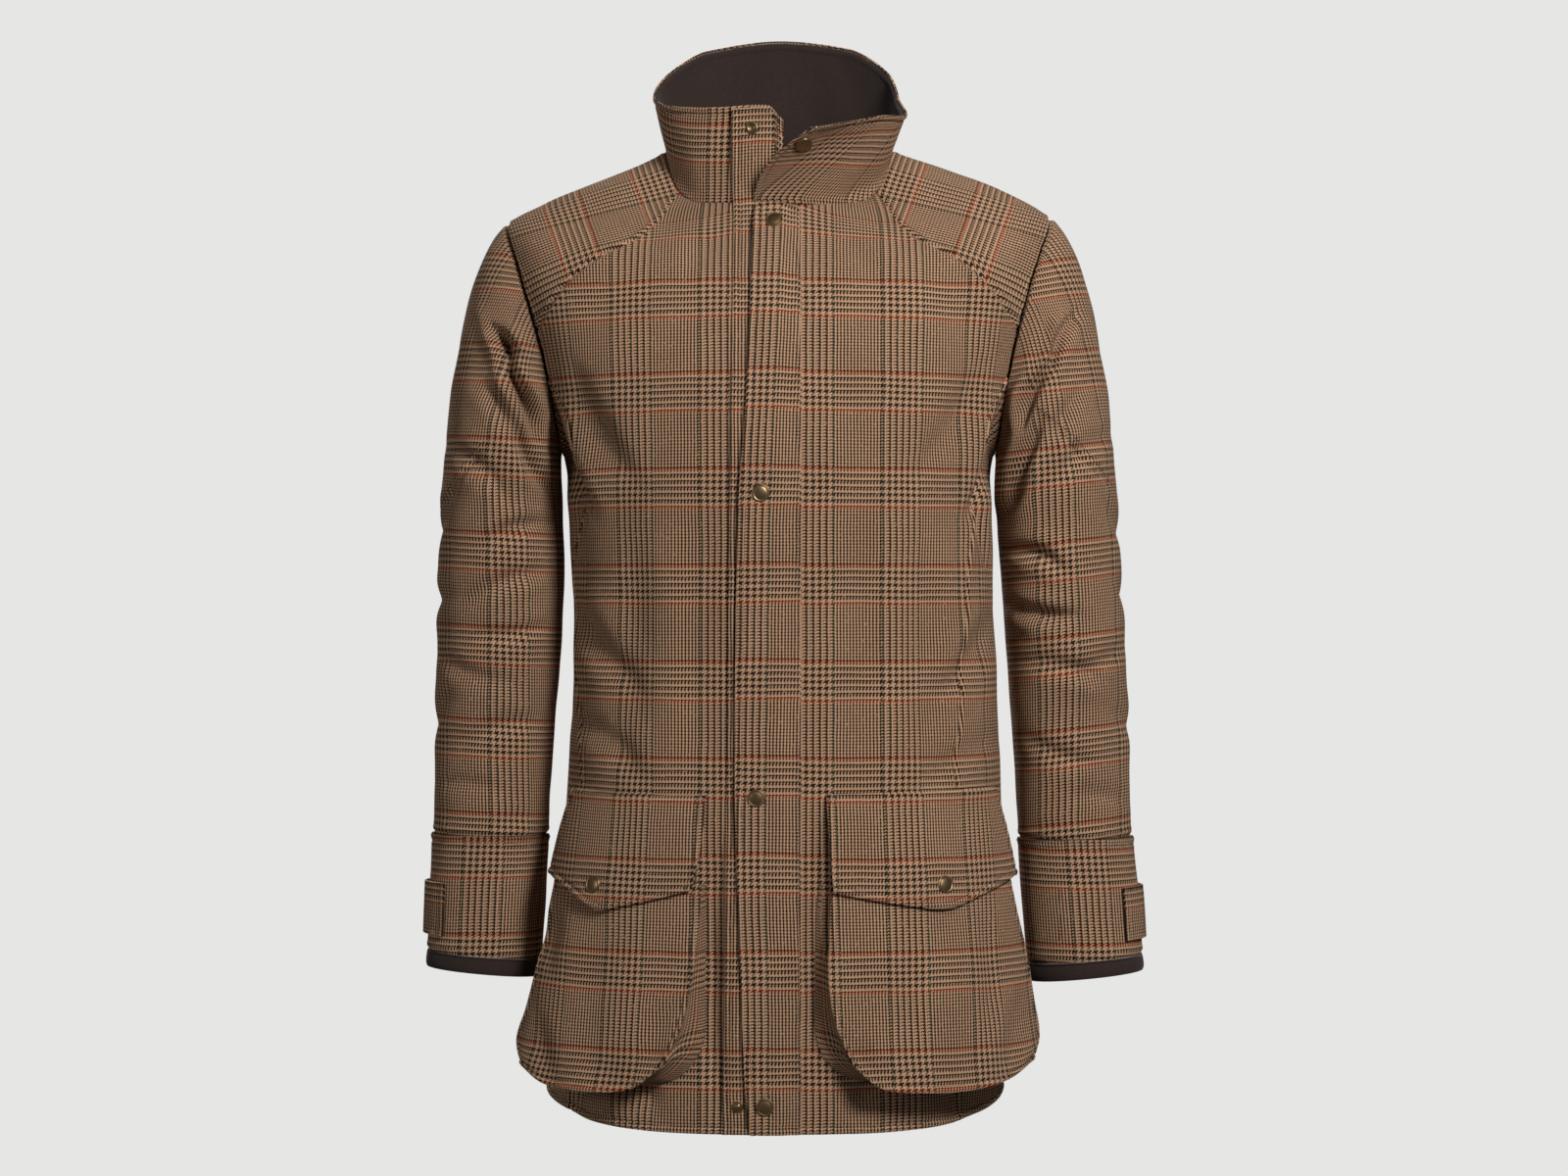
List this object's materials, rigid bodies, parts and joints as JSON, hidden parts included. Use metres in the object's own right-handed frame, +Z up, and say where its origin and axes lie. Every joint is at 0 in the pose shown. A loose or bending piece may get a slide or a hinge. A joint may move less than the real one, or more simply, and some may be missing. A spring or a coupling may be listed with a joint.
{
  "type": "tweed jacket",
  "caption": "Hip-length checked tweed field jacket worn open at the collar, with shoulder yokes, snapped storm flap, bellows pockets and bound cuffs.",
  "frame": {"origin": "middle of the neck opening at the height where the collar meets the shoulders", "axes": "+Z up, the front of the jacket faces -Y, +X toward the wearer's left arm"},
  "size_m": [0.6431, 0.3116, 0.96],
  "materials": {
    "tweed": "brushed woollen twill in a brown, camel, rust and green check",
    "brushed_lining": "short brushed cotton nap, dark brown",
    "antique_brass": "darkened, satin"
  },
  "bodies": {
    "root": {"front_left": "tweed", "front_right": "tweed", "side_left": "tweed", "side_right": "tweed", "back": "tweed", "yoke_left": "tweed", "yoke_right": "tweed", "sleeve_left": "tweed", "sleeve_right": "tweed", "cuff_left": "tweed", "cuff_right": "tweed", "cuff_tab_left": "tweed", "cuff_tab_right": "tweed", "pocket_face_left": "tweed", "pocket_face_right": "tweed", "pocket_gusset_left": "tweed", "pocket_gusset_right": "tweed", "pocket_flap_left": "tweed", "pocket_flap_right": "tweed", "collar": "tweed", "storm_flap": "tweed", "snap_strip": "tweed", "collar_lining": "brushed_lining", "cuff_binding_left": "brushed_lining", "cuff_binding_right": "brushed_lining", "snap_cap_neck": "antique_brass", "snap_cap_chest": "antique_brass", "snap_cap_waist": "antique_brass", "snap_cap_hem": "antique_brass", "snap_stud_hem": "antique_brass", "snap_socket_collar": "antique_brass", "snap_cap_collar": "antique_brass", "snap_cap_pocket_left": "antique_brass", "snap_cap_pocket_right": "antique_brass"}
  },
  "joints": []
}
